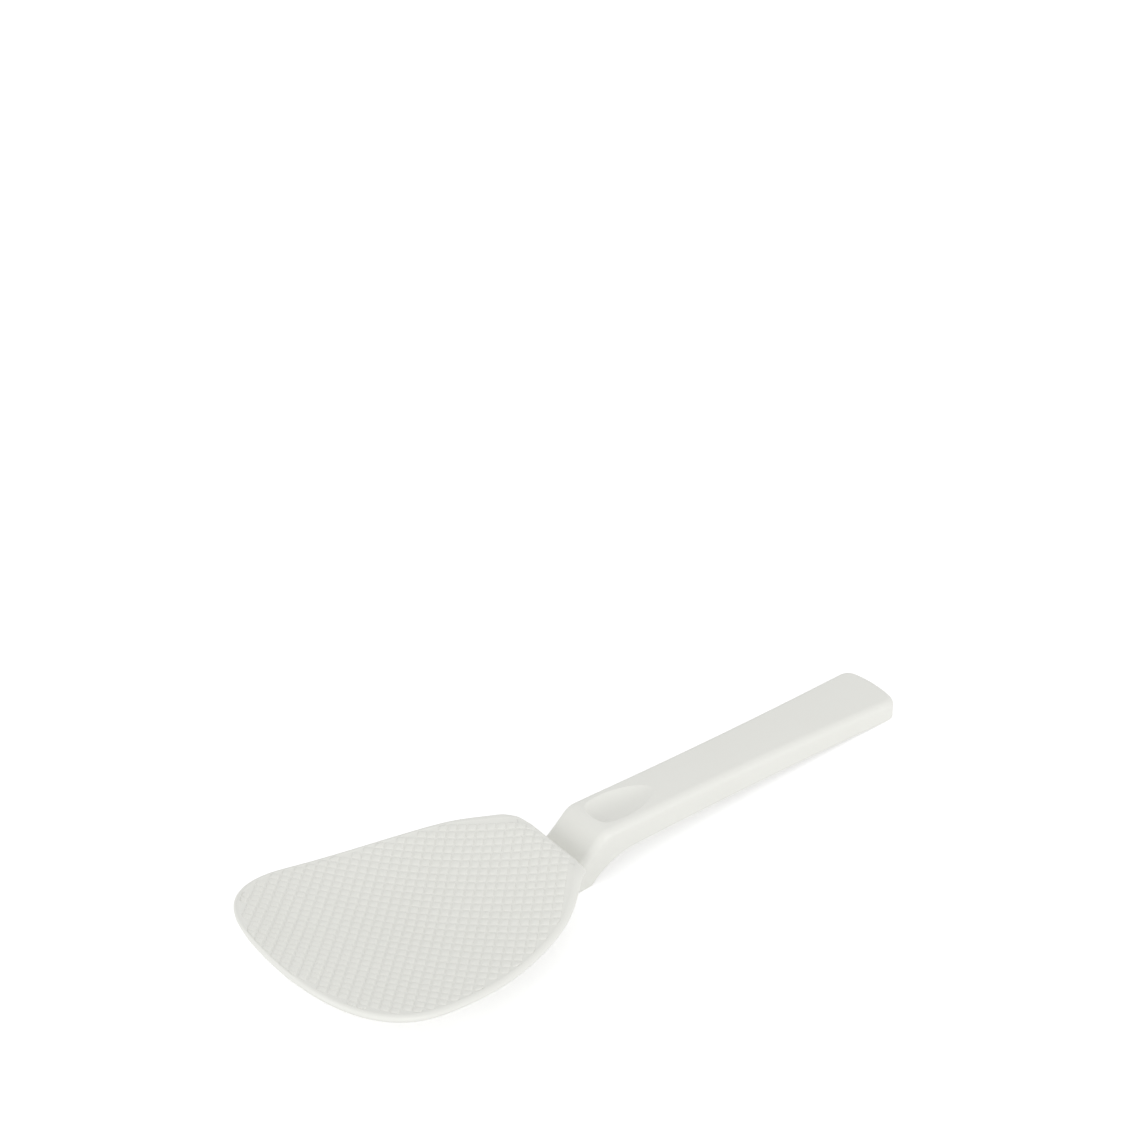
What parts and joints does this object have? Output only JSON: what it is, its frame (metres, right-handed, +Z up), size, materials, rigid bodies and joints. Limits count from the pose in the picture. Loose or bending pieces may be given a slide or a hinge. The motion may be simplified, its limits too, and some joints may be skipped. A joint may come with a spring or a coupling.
{
  "type": "rice paddle",
  "caption": "White plastic rice paddle: broad dished blade with a dimpled surface and rounded rim, seated on a flared handle with a thumb scoop and a foot under the neck.",
  "frame": {"origin": "on the table, under the middle of the paddle's length and width", "axes": "+X from the blade towards the end of the handle, +Z up, +Y across the blade to the left when looking along +X"},
  "size_m": [0.2188, 0.0726, 0.03],
  "materials": {
    "blade_plastic": "warm white moulded plastic, satin, with raised non-stick dimples and a smooth rim",
    "handle_plastic": "warm white moulded plastic, satin, smooth"
  },
  "bodies": {
    "root": {"blade": "blade_plastic", "handle": "handle_plastic"}
  },
  "joints": []
}
